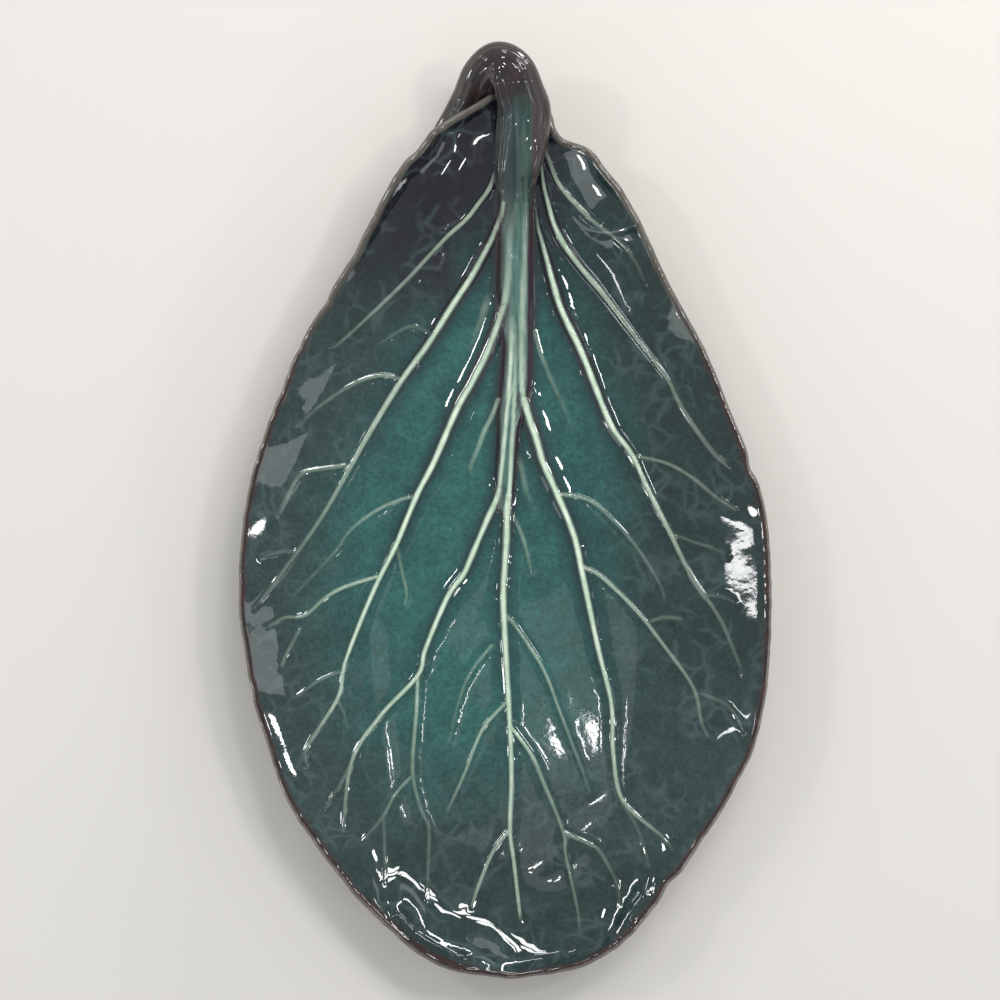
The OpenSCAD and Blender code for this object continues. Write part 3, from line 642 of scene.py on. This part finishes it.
def corner_normals(points, faces):
    a, b, c = points[faces.T]
    face_n = np.cross(b - a, c - a)
    total = np.zeros_like(points)
    for k in range(3):
        np.add.at(total, faces[:, k], face_n)
    size = np.linalg.norm(total, axis=1)
    size[size == 0] = 1
    return total / size[:, None]


top_flat, top_faces = triangulate(edge_loop, np.vstack([features, filling]))
n_top = len(top_flat)
n_edge = len(edge_loop)
top = survey(top_flat)
rim_distance = distances(tree_of(outer), top_flat)
top_points = np.column_stack([top_flat, surface_height(top_flat, top, rim_distance)])

# The rolled rim
out_way = np.column_stack([outward * np.cos(tilt)[:, None], np.sin(tilt)])
up_way = np.column_stack([-outward * np.sin(tilt)[:, None], np.cos(tilt)])
centre = top_points[:n_edge] - up_way * rim_r[:, None]
rim_points = []
for k in range(1, RIM_STEPS + 1):
    a = math.pi * k / RIM_STEPS
    rim_points.append(centre + (up_way * math.cos(a) + out_way * math.sin(a)) * rim_r[:, None])

# The plain underside
last_ring = rim_points[-1]
under_loop = last_ring[:, :2]
loop_tree = tree_of(under_loop)
under_fill = hex_fill(outer.min(0), outer.max(0), UNDER_STEP)
under_fill = under_fill[inside_loop(under_fill, under_loop)]
under_fill = under_fill[distances(loop_tree, under_fill) > 1.6]
under_flat, under_faces = triangulate(under_loop, under_fill)
rim_far = distances(loop_tree, under_flat)
nearest_rim = np.array([loop_tree.find((p[0], p[1], 0))[1] for p in under_flat])
thick = lerp(RIM_T, SLAB_T, smoothstep(0, 12, rim_far))
offset = last_ring[:, 2] - (dish_height(under_loop) - RIM_T)
under_z = dish_height(under_flat) - thick + offset[nearest_rim] * (1 - smoothstep(0, 6, rim_far))
under_z[:n_edge] = last_ring[:, 2]

blocks = [top_points, *rim_points[:-1], np.column_stack([under_flat, under_z])]
offsets = np.r_[0, np.cumsum([len(b) for b in blocks])]
whole = np.vstack(blocks)
ring_ids = [np.arange(n_edge) + start for start in offsets[:-1]]
skin = bands(ring_ids)
under_ids = under_faces[:, ::-1] + offsets[RIM_STEPS]
normals = corner_normals(whole, np.vstack([top_faces, skin, under_ids]))

# Share of each mask at every point of the whole skin
reach = lip_reach(top_flat)
top["rim"] = rim_distance
top["lip"] = 1 - smoothstep(reach - 0.45, reach + 0.25, rim_distance)
masks = {name: np.r_[top[name], np.zeros(len(whole) - n_top)]
         for name in ("pale", "flank", "hollow", "strap", "across", "rim", "lip")}
# The rim mask runs below zero round the roll and under it, where the painted reflection of the floor goes
for k in range(1, RIM_STEPS):
    masks["rim"][ring_ids[k]] = 0.5 - 0.5 * k
masks["rim"][offsets[RIM_STEPS]:] = -4

# The piece that each face of the top belongs to, with -1 for the blade
names = sorted({r["owner"] for r in routes} - {"leaf_blade"})
route_piece = np.array([names.index(r["owner"]) if r["owner"] in names else -1 for r in routes] + [-1])
mid = survey(top_flat[top_faces].mean(1))
face_owner = route_piece[mid["owner"]]
face_owner[mid["in_strap"]] = names.index("midrib")


def boundary_edges(faces):
    edges = np.vstack([faces[:, [0, 1]], faces[:, [1, 2]], faces[:, [2, 0]]])
    known = {tuple(e) for e in edges.tolist()}
    return np.array([e for e in edges.tolist() if (e[1], e[0]) not in known]).reshape(-1, 2)


# Walls from edges down to the points below their ends
def walls(edges, below):
    a, b = edges[:, 0], edges[:, 1]
    return np.vstack([np.column_stack([a, b, below[b]]), np.column_stack([a, below[b], below[a]])])


def numbered(count, used, first=0):
    ids = np.full(count, -1)
    ids[used] = np.arange(len(used)) + first
    return ids


def compact(points, faces, vertex_normals, values):
    used = np.unique(faces)
    faces = numbered(len(points), used)[faces]
    return points[used], faces, vertex_normals[used], {k: v[used] for k, v in values.items()}


def make_object(name, points, faces, vertex_normals, values, material, slot):
    mesh = bpy.data.meshes.new(name)
    mesh.from_pydata((points * MM_IN_M).tolist(), [], faces.tolist())
    for key, data in values.items():
        layer = mesh.attributes.new(key, "FLOAT", "POINT")
        layer.data.foreach_set("value", data.astype(np.float32))
    mesh.materials.append(material)
    mesh.polygons.foreach_set("use_smooth", np.ones(len(faces), bool))
    mesh.update()
    if vertex_normals is not None:
        mesh.normals_split_custom_set_from_vertices(vertex_normals.tolist())
    obj = bpy.data.objects.new(name, mesh)
    bpy.context.scene.collection.objects.link(obj)
    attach(obj, "root")
    return obj


# Materials made of nodes, with places in metres
class Shade:
    def __init__(self, name):
        self.material = bpy.data.materials.new(name)
        self.material.use_nodes = True
        self.tree = self.material.node_tree
        self.tree.nodes.clear()
        self.bsdf = self.tree.nodes.new("ShaderNodeBsdfPrincipled")
        out = self.tree.nodes.new("ShaderNodeOutputMaterial")
        self.tree.links.new(self.bsdf.outputs[0], out.inputs[0])
        self.place = self.tree.nodes.new("ShaderNodeTexCoord").outputs["Object"]

    def put(self, socket, value):
        if isinstance(value, bpy.types.NodeSocket):
            self.tree.links.new(value, socket)
        elif isinstance(value, (tuple, list)):
            socket.default_value = (*value, 1) if len(value) == 3 and socket.type == "RGBA" else value
        else:
            socket.default_value = value

    def node(self, kind, inputs, **settings):
        n = self.tree.nodes.new(kind)
        for key, value in settings.items():
            setattr(n, key, value)
        for key, value in inputs.items():
            self.put(n.inputs[key], value)
        return n

    def mask(self, name):
        return self.node("ShaderNodeAttribute", {}, attribute_name=name).outputs["Fac"]

    def axis(self, k):
        return self.node("ShaderNodeSeparateXYZ", {0: self.place}).outputs[k]

    def ramp(self, value, low, high, out_low=0.0, out_high=1.0):
        inputs = {"Value": value, "From Min": low, "From Max": high, "To Min": out_low, "To Max": out_high}
        return self.node("ShaderNodeMapRange", inputs, interpolation_type="SMOOTHSTEP").outputs["Result"]

    def math(self, operation, a, b=0.0, clamp=False):
        return self.node("ShaderNodeMath", {0: a, 1: b}, operation=operation, use_clamp=clamp).outputs[0]

    def plus(self, a, b):
        return self.math("ADD", a, b)

    def minus(self, a, b):
        return self.math("SUBTRACT", a, b)

    def times(self, a, b):
        return self.math("MULTIPLY", a, b)

    def fall(self, value, low, high):
        return self.math("SUBTRACT", 1.0, self.ramp(value, low, high), clamp=True)

    def mix(self, share, a, b, blend="MIX"):
        n = self.node("ShaderNodeMix", {0: share, 6: a, 7: b}, data_type="RGBA", blend_type=blend)
        return n.outputs[2]

    # A colour laid over with others, each starting between two values
    def layers(self, colour, value, others):
        for low, high, other in others:
            colour = self.mix(self.ramp(value, low, high), colour, other)
        return colour

    def noise(self, scale, detail=3.0, rough=0.5, distort=0.0, place=None, output=0):
        inputs = {"Vector": place or self.place, "Scale": scale, "Detail": detail, "Roughness": rough,
                  "Distortion": distort}
        return self.node("ShaderNodeTexNoise", inputs).outputs[output]

    def cells(self, scale, output="Distance", place=None, feature="F1"):
        inputs = {"Vector": place or self.place, "Scale": scale}
        return self.node("ShaderNodeTexVoronoi", inputs, feature=feature).outputs[output]

    def blotches(self, noise_value, a, b, low=0.3, high=0.7):
        return self.mix(self.ramp(noise_value, low, high), a, b)

    def surface(self, inputs):
        for key, value in inputs.items():
            self.put(self.bsdf.inputs[key], value)

    def bump(self, height, strength):
        n = self.node("ShaderNodeBump", {"Height": height, "Strength": strength, "Distance": 0.0004})
        self.put(self.bsdf.inputs["Normal"], n.outputs[0])

    # A glossy coat of this colour, with faint waves
    def gloss(self, colour, waves):
        roughness = self.ramp(self.noise(500, 2, 0.5), 0.2, 0.8, 0.016, 0.036)
        self.surface({"Base Color": colour, "Roughness": roughness, "IOR": 1.52})
        self.bump(self.plus(self.noise(260, 3, 0.5), self.times(self.noise(750, 2, 0.5), 0.16)), waves)
        return self.material


# Colours of the stem and of the midrib, which run in streaks along them
def streaked(g):
    x = g.axis(0)
    y = g.axis(1)
    grain = g.node("ShaderNodeCombineXYZ", {0: g.times(x, 300.0), 1: g.times(y, 36.0)})
    run = g.noise(2, 4, 0.6, 0.2, grain.outputs[0])
    streak = g.ramp(run, 0.32, 0.68)
    shake = g.minus(run, 0.5)
    u = g.plus(x, g.times(shake, 0.003))
    s = g.plus(g.mask("across"), g.times(shake, 0.5))
    grey = g.mix(streak, (0.030, 0.034, 0.034), (0.066, 0.072, 0.071))
    dusk = g.mix(streak, (0.018, 0.034, 0.033), (0.048, 0.074, 0.070))
    teal = g.mix(streak, (0.020, 0.048, 0.041), (0.062, 0.104, 0.090))
    brown = g.mix(streak, (0.034, 0.025, 0.024), (0.078, 0.064, 0.060))
    green = g.mix(streak, (0.038, 0.098, 0.082), (0.090, 0.180, 0.150))
    mist = g.mix(streak, (0.075, 0.120, 0.108), (0.135, 0.195, 0.175))
    plum = g.mix(streak, (0.026, 0.016, 0.024), (0.060, 0.040, 0.050))
    high = g.layers(grey, u, [(-0.0002, 0.0008, dusk), (0.0028, 0.0036, teal), (0.0072, 0.0086, brown)])
    low = g.layers(plum, s, [(-0.9, -0.62, mist), (-0.3, -0.05, green), (0.35, 0.5, mist), (0.66, 0.8, plum)])
    return g.mix(g.ramp(y, 0.078, 0.098), low, high), run


def glaze(name):
    g = Shade(name)
    x = g.axis(0)
    y = g.axis(1)
    # How far out of the middle of the dish a place is, and the green that fills the middle
    offset = g.plus(x, g.ramp(y, 0.0, 0.05, 0.007, 0.0))
    width = g.ramp(y, 0.0, 0.05, 0.050, 0.034)
    cloud = g.noise(38, 3, 0.55, 0.3)
    far = g.times(g.minus(cloud, 0.5), 1.3)
    for value, size in ((offset, width), (g.minus(y, 0.004), 0.092)):
        far = g.plus(far, g.math("POWER", g.math("ABSOLUTE", g.math("DIVIDE", value, size)), 2.4))
    body = g.mix(g.fall(far, 0.1, 1.6), (0.023, 0.045, 0.043), (0.022, 0.098, 0.087))
    # Near the stem: almost black on the left, deep green on the right, with purple clouds
    neck = g.ramp(g.plus(y, g.times(cloud, 0.03)), 0.062, 0.112)
    right_side = g.ramp(x, 0.010, 0.024)
    body = g.mix(neck, body, g.mix(right_side, (0.009, 0.009, 0.014), (0.018, 0.042, 0.041)))
    purple = g.times(g.ramp(g.noise(45, 2, 0.5), 0.48, 0.66), neck)
    body = g.mix(g.times(purple, g.ramp(right_side, 0, 1, 0.6, 0.1)), body, (0.026, 0.011, 0.016))
    # Painted shade: darker towards the right and at the tip, where the light falls off
    painted_falloff_shade = g.times(g.ramp(x, -0.01, 0.045), g.ramp(y, -0.075, -0.03))
    painted_falloff_shade = g.math("MAXIMUM", painted_falloff_shade, g.ramp(y, -0.092, -0.112))
    body = g.mix(painted_falloff_shade, body, (0.74, 0.76, 0.76), "MULTIPLY")
    # Mottling at two sizes
    mottle = g.blotches(g.noise(120, 5, 0.65, 0.4), (0.78, 0.80, 0.80), (1.20, 1.18, 1.18))
    grain = g.blotches(g.noise(900, 3, 0.6), (0.74, 0.78, 0.78), (1.26, 1.22, 1.22))
    body = g.mix(1.0, g.mix(1.0, body, mottle, "MULTIPLY"), grain, "MULTIPLY")
    # Darker glaze pooled beside the ribs and the strap, partly painted shade in the hollows there
    body = g.mix(g.times(g.mask("hollow"), 0.75), body, (0.006, 0.020, 0.026))
    # A fine, broken net of faint veins in the outer parts
    drift = g.noise(55, output="Color")
    shift = g.node("ShaderNodeVectorMath", {0: drift, "Scale": 0.012}, operation="SCALE")
    bent = g.node("ShaderNodeVectorMath", {0: g.place, 1: shift.outputs[0]}, operation="ADD")
    cells = g.cells(150, "Distance", bent.outputs[0], "DISTANCE_TO_EDGE")
    net = g.times(g.fall(cells, 0.0, 0.16), g.ramp(g.noise(75, 3, 0.6), 0.42, 0.62))
    body = g.mix(g.times(net, g.ramp(far, 0.3, 1.5, 0.05, 0.33)), body, (0.085, 0.135, 0.13))
    # The strap, the steep sides and the pale crests
    strap_colour, _ = streaked(g)
    body = g.mix(g.mask("strap"), body, strap_colour)
    side_colour = g.mix(g.ramp(y, 0.0, 0.05), (0.018, 0.022, 0.025), (0.046, 0.032, 0.038))
    body = g.mix(g.times(g.mask("flank"), 0.75), body, side_colour)
    crest = g.blotches(g.noise(300, 3, 0.6), (0.50, 0.66, 0.48), (0.72, 0.84, 0.66))
    body = g.mix(g.mask("pale"), body, crest)
    # Pale specks and pinholes
    speck = g.times(g.fall(g.cells(190), 0.03, 0.07), g.ramp(g.cells(190, "Color"), 0.88, 0.89))
    body = g.mix(g.times(speck, 0.4), body, (0.35, 0.5, 0.46))
    # The rim, where the glaze breaks red-brown over the edge, and olive towards the stem; the roll's outer
    # side carries a painted reflection
    ragged = g.times(g.minus(g.noise(130, 4, 0.65), 0.5), -3.4)
    edge = g.plus(g.mask("rim"), ragged)
    low_part = g.ramp(y, 0.075, 0.03)
    fringe = g.times(g.times(g.fall(edge, 0.6, 3.4), 0.85), low_part)
    red_brown = g.mix(g.noise(240, 3, 0.6), (0.024, 0.012, 0.013), (0.060, 0.026, 0.025))
    body = g.mix(fringe, body, red_brown)
    olive = g.times(g.minus(1.0, low_part), g.fall(edge, 0.5, 2.8))
    olive_colour = g.mix(g.noise(150, 4, 0.6), (0.045, 0.038, 0.032), (0.15, 0.135, 0.10))
    body = g.mix(g.times(olive, 0.8), body, olive_colour)
    rim_share = g.times(g.fall(edge, -0.1, 1.0), g.ramp(low_part, 0, 1, 0.2, 1.0))
    rim_share = g.math("MAXIMUM", rim_share, g.mask("lip"))
    rim_colour = g.blotches(g.noise(210, 4, 0.65), (0.010, 0.007, 0.007), (0.050, 0.019, 0.018), 0.35)
    body = g.mix(rim_share, body, rim_colour)
    # Painted reflection: the roll's outer side is painted pale grey-brown for the bright floor it mirrors at
    # grazing angles; the underside gets the same pale colour
    painted_rim_reflection = g.times(g.ramp(g.mask("rim"), -0.2, -1.0), g.ramp(low_part, 0, 1, 0.45, 0.8))
    body = g.mix(painted_rim_reflection, body, g.mix(g.noise(160, 3, 0.6), (0.09, 0.075, 0.065), (0.28, 0.26, 0.23)))
    return g.gloss(body, 0.016)


def stem_glaze(name):
    g = Shade(name)
    body, run = streaked(g)
    dark = g.blotches(g.noise(170, 3, 0.6), (0.014, 0.013, 0.014), (0.034, 0.019, 0.020), 0.35, 0.65)
    body = g.mix(g.mask("crown"), body, dark)
    # Painted reflection: the outer sides of the loop are painted grey-brown for the bright floor that the
    # glaze mirrors at grazing angles
    painted_floor_reflection = g.times(g.ramp(g.mask("outside"), 0.34, 0.58), 0.85)
    body = g.mix(painted_floor_reflection, body, g.mix(run, (0.036, 0.030, 0.029), (0.062, 0.052, 0.048)))
    return g.gloss(body, 0.007)


def clay(name):
    g = Shade(name)
    body = g.mix(g.noise(180, 5, 0.6), (0.24, 0.12, 0.075), (0.36, 0.20, 0.13))
    body = g.mix(g.ramp(g.cells(900), 0.16, 0.08, 0.0, 0.6), body, (0.10, 0.05, 0.035))
    g.surface({"Base Color": body, "Roughness": 0.85})
    g.bump(g.noise(700, 4, 0.6), 0.35)
    return g.material


leaf_glaze = glaze("leaf_glaze")
stem_look = stem_glaze("stem_glaze")
clay_look = clay("bare_clay")

# Cut the ribs out of the top and close every piece
for k, name in enumerate(names):
    points, faces, up, values = compact(whole, top_faces[face_owner == k], normals, masks)
    below = np.arange(len(points)) + len(points)
    sides = walls(boundary_edges(faces)[:, ::-1], below)
    faces = np.vstack([faces, faces[:, ::-1] + len(points), sides])
    slot = "stem_glaze" if name == "midrib" else "pale_glaze"
    values = {key: np.r_[v, v] for key, v in values.items()}
    obj = make_object("glazed_" + name, np.vstack([points, points - [0, 0, BED]]), faces,
                      np.vstack([up, -up]), values, leaf_glaze, slot)
    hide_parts(name)

bed = top_faces[face_owner >= 0]
bed_used = np.unique(bed)
below = numbered(n_top, bed_used, len(whole))
points = np.vstack([whole, whole[bed_used] - [0, 0, BED]])
faces = np.vstack([top_faces[face_owner < 0], skin, under_ids, below[bed],
                   walls(boundary_edges(bed), below)])
values = {key: np.r_[v, v[bed_used]] for key, v in masks.items()}
blade = compact(points, faces, np.vstack([normals, normals[bed_used]]), values)
obj = make_object("glazed_leaf_blade", *blade, leaf_glaze, "dark_glaze")
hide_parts("leaf_blade")

# The stem: seated on the leaf, then over the crown, then under the leaf's shoulder
stem_px = at(STEM_PX)
grow, taper = np.array([STEM_GROW, STEM_TAPER])[..., None]
small, full, end = np.array([STEM_START, STEM_FULL, STEM_END])
stem_size = lerp(lerp(small, full, grow), end, taper)
back_way = unit(stem_px[8] - stem_px[11])
back_side = np.array([back_way[1], -back_way[0]])
seat = np.array([-0.9, -0.6, -0.3, 0, 0.3, 0.6, 0.9])


def seat_height(k, along_side, sign):
    level = dish_height(stem_px[k] + along_side * (seat * stem_size[k, 0] / 2)[:, None])
    body_half = np.sqrt(1 - seat ** 2) * stem_size[k, 1] / 2
    if sign > 0:
        return (level + body_half).max() + STEM_GAP
    return (level - SLAB_T - body_half).min() - STEM_GAP


stem_z = [seat_height(k, np.array([1.0, 0.0]), 1) for k in range(5)]
stem_z += [lerp(STEM_CROWN_Z, seat_height(8, back_side, -1), drop) for drop in CROWN_DROP]
stem_z += [seat_height(k, back_side, -1) for k in range(8, 12)]
stem_rows = np.column_stack([stem_px, stem_z, stem_size])
path = catmull(stem_rows, np.linspace(0, len(STEM_PX) - 1, STEM_RINGS + 1))
direction = unit(np.gradient(path[:, :3], axis=0))
across = unit(np.cross(direction, [0, 0, 1]))
rise = np.cross(across, direction)

# Its section: a rounded strap with fluted grooves, at each share of the way along it
angles = np.linspace(0, 2 * np.pi, STEM_SIDES, endpoint=False)
cosine, sine = np.cos(angles), np.sin(angles)
grooves = (0.5 * np.exp(-((0.6 - cosine) / 0.07) ** 2) + 0.35 * np.exp(-((0.16 - cosine) / 0.12) ** 2)
           + 0.3 * np.exp(-((cosine + 0.40) / 0.09) ** 2) + 0.2 * np.exp(-((cosine + 0.72) / 0.1) ** 2))
share = np.linspace(0, 1, STEM_RINGS + 1)[:, None]
square = lerp(0.78, 0.92, smoothstep(0, 0.3, share))
cx = np.sign(cosine) * np.abs(cosine) ** square
sx = np.sign(sine) * np.abs(sine) ** square
ending = np.sqrt(np.maximum(0, 1 - np.maximum(0, (share - 0.955) / 0.046) ** 2))
half_w, half_t = path[:, 3:4] / 2 * ending, path[:, 4:5] / 2 * ending
cut = grooves * smoothstep(0, 0.12, share) * ending
stem_points = (path[:, None, :3] - across[:, None] * (cx * (half_w - 0.6 * cut * np.abs(cx)))[..., None]
               + rise[:, None] * (sx * (half_t - cut))[..., None]).reshape(-1, 3)
crown = smoothstep(0.29, 0.43, share) * (1 - 0.75 * smoothstep(0.68, 0.8, share)) + 0 * cx

# Its start is pressed down onto the strap of the midrib
blend = 1 - smoothstep(at([515, 198])[1], at([515, 172])[1], stem_points[:, 1])
near = np.where((blend > 0) & (np.arange(len(stem_points)) < STEM_SIDES * SEATED_RINGS))[0]
level = surface_height(stem_points[near][:, :2], survey(stem_points[near][:, :2], keep_strap=True))
level = level + 0.03 - 1.8 * (1 - smoothstep(-0.25, 0.2, sine))[near % STEM_SIDES]
stem_points[near, 2] = lerp(stem_points[near, 2], level, blend[near])
rings = np.arange(len(stem_points)).reshape(-1, STEM_SIDES)
tube = bands(rings)[:, ::-1]
first, last = len(stem_points), len(stem_points) + 1
caps = [[np.roll(rings[0], -1), rings[0], np.full(STEM_SIDES, first)],
        [rings[-1], np.roll(rings[-1], -1), np.full(STEM_SIDES, last)]]
faces = np.vstack([tube, *(np.stack(cap, 1) for cap in caps)])
points = np.vstack([stem_points, [stem_points[rings[0]].mean(0), stem_points[rings[-1]].mean(0)]])
stem_normals = corner_normals(points, tube)
stem_normals[first:] = [0, 1, 0]
values = {
    "across": np.r_[-cx.ravel(), 0, 0],
    "crown": np.r_[crown.ravel(), 0, 1],
    # Where the painted floor reflection goes: the outer sides, past the start of the crown
    "outside": np.r_[(-cx * smoothstep(0.25, 0.4, share)).ravel(), 0, 0],
}
obj = make_object("glazed_stem_handle", points, faces, stem_normals, values, stem_look, "stem_glaze")
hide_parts("stem_handle")

# The foot ring, with softened edges and a trimmed groove
turns = np.linspace(0, 2 * np.pi, FOOT_TURNS, endpoint=False)
circle = np.stack([np.cos(turns), np.sin(turns)], 1)
middle_line = (np.array([FOOT_W, FOOT_LEN]) - FOOT_WALL) / 2
wall = unit(circle / middle_line)[:, None] * FOOT_SECTION[:, :1]
xy = (circle * middle_line)[:, None] + wall + [0, TIP_Y + BLADE_LEN / 2]
foot = np.dstack([xy, np.broadcast_to(FOOT_SECTION[:, 1], xy.shape[:2])]).reshape(-1, 3)
rings = np.arange(len(foot)).reshape(FOOT_TURNS, -1)
obj = make_object("bare_foot_ring", foot, bands([*rings, rings[0]]), None, {}, clay_look, "bare_clay")
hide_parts("foot_ring")

# The floor
bpy.ops.mesh.primitive_plane_add(size=FLOOR_SIZE, location=(0, 0, 0))
floor = bpy.context.object
floor.name = "floor"
g = Shade("floor")
g.surface({"Base Color": FLOOR_COLOUR, "Roughness": 0.7, "Specular IOR Level": 0.2})
floor.data.materials.append(g.material)

# Light: a plain, slightly cool world, and lamps and dim cards that the glaze mirrors
world = bpy.data.worlds.new("world")
bpy.context.scene.world = world
world.use_nodes = True
background = world.node_tree.nodes["Background"]
background.inputs[0].default_value = WORLD_COLOUR
background.inputs[1].default_value = WORLD_STRENGTH
CAMERA = np.array([*at([500, 500]), CAMERA_Z])
top_tree = tree_of(top_flat)


def plain_normal(spot, step=1.5):
    z = dish_height(spot + step * np.array([[1, 0], [-1, 0], [0, 1], [0, -1]]))
    return np.array([z[1] - z[0], z[3] - z[2], 2 * step])


# A lamp that the camera sees mirrored at a place of the photograph: its size and distance in metres, the
# spread in mm over which the slope is averaged, or 0 for the dish's plain slope, and its lift in degrees
def lamp_for(name, px, size, radiance, far=1.0, spread=2.0, lift=0.0):
    spot = at(px)
    for _ in range(3):
        z = top_points[top_tree.find((*spot, 0))[1], 2]
        spot = CAMERA[:2] + (at(px) - CAMERA[:2]) * (CAMERA_Z - z) / PICTURE_DEPTH
    near = [i for _, i, _ in top_tree.find_range((*spot, 0), spread)]
    n = unit(normals[near].mean(0) if near else plain_normal(spot))
    spot = np.array([*spot, z])
    view = unit(CAMERA - spot)
    way = 2 * n.dot(view) * n - view
    elevation = math.asin(way[2]) + math.radians(lift)
    azimuth = math.atan2(way[1], way[0])
    way = np.array([math.cos(elevation) * math.cos(azimuth), math.cos(elevation) * math.sin(azimuth),
                    math.sin(elevation)])
    data = bpy.data.lights.new(name, "AREA")
    data.shape = "RECTANGLE" if name.startswith("card") else "ELLIPSE"
    data.size, data.size_y = size
    data.energy = radiance * math.pi * size[0] * size[1]
    obj = bpy.data.objects.new(name, data)
    obj.location = spot * MM_IN_M + way * far
    obj.rotation_euler = Vector(-way).to_track_quat("-Z", "Y").to_euler()
    bpy.context.scene.collection.objects.link(obj)


TIP_LAMPS = [
    [420, 916], [446, 912], [468, 914], [490, 926], [510, 940], [535, 950], [572, 950], [618, 928],
]
for lamp in [
    ["lamp_left_edge", [258, 528], (0.012, 0.14), 22],
    ["lamp_left_low", [271, 722], (0.012, 0.07), 30],
    ["lamp_right_edge", [738, 546], (0.003, 0.10), 16, 0.35],
    ["lamp_right_up", [753, 511], (0.035, 0.07), 22],
    ["lamp_bowl_1", [560, 738], (0.007, 0.013), 30, 1.0, 0],
    ["lamp_bowl_2", [594, 734], (0.004, 0.018), 30, 1.0, 0],
    ["lamp_bowl_3", [622, 736], (0.010, 0.020), 22],
    ["lamp_bowl_4", [627, 775], (0.006, 0.010), 30],
    *([f"lamp_tip_{k + 1}", place, (0.20, 0.05), 18] for k, place in enumerate(TIP_LAMPS)),
    ["lamp_tip_low", [505, 966], (0.50, 0.06), 25],
    ["lamp_shoulder", [446, 168], (0.12, 0.04), 25],
    ["lamp_shoulder_up", [463, 165], (0.10, 0.03), 25],
    ["lamp_lobe", [622, 230], (0.07, 0.06), 22, 1.0, 1.5],
    ["lamp_ribs_left", [463, 272], (0.09, 0.13), 30, 1.0, 1.0],
    ["lamp_ribs_right", [573, 305], (0.09, 0.13), 30, 1.0, 1.0],
    ["card_left", [277, 462], (0.08, 0.36), 2.0],
    ["card_left_low", [268, 676], (0.045, 0.28), 2.0],
    ["card_left_up", [356, 250], (0.19, 0.26), 1.7, 1.0, 2.0, -8],
    ["card_lobe", [578, 170], (0.20, 0.44), 1.8],
    ["card_tip", [500, 952], (0.34, 0.14), 1.8],
    ["card_above", [565, 690], (0.10, 0.11), 0.6, 1.3, 0],
]:
    lamp_for(*lamp)

# The camera looks straight down
camera_data = bpy.data.cameras.new("camera")
camera_data.sensor_width = SENSOR
camera_data.lens = SENSOR * PICTURE_DEPTH / PICTURE_WIDTH
camera_data.clip_start = 0.05
camera = bpy.data.objects.new("camera", camera_data)
camera.location = CAMERA * MM_IN_M
bpy.context.scene.collection.objects.link(camera)
bpy.context.scene.camera = camera

bpy.context.scene.view_settings.view_transform = "Standard"
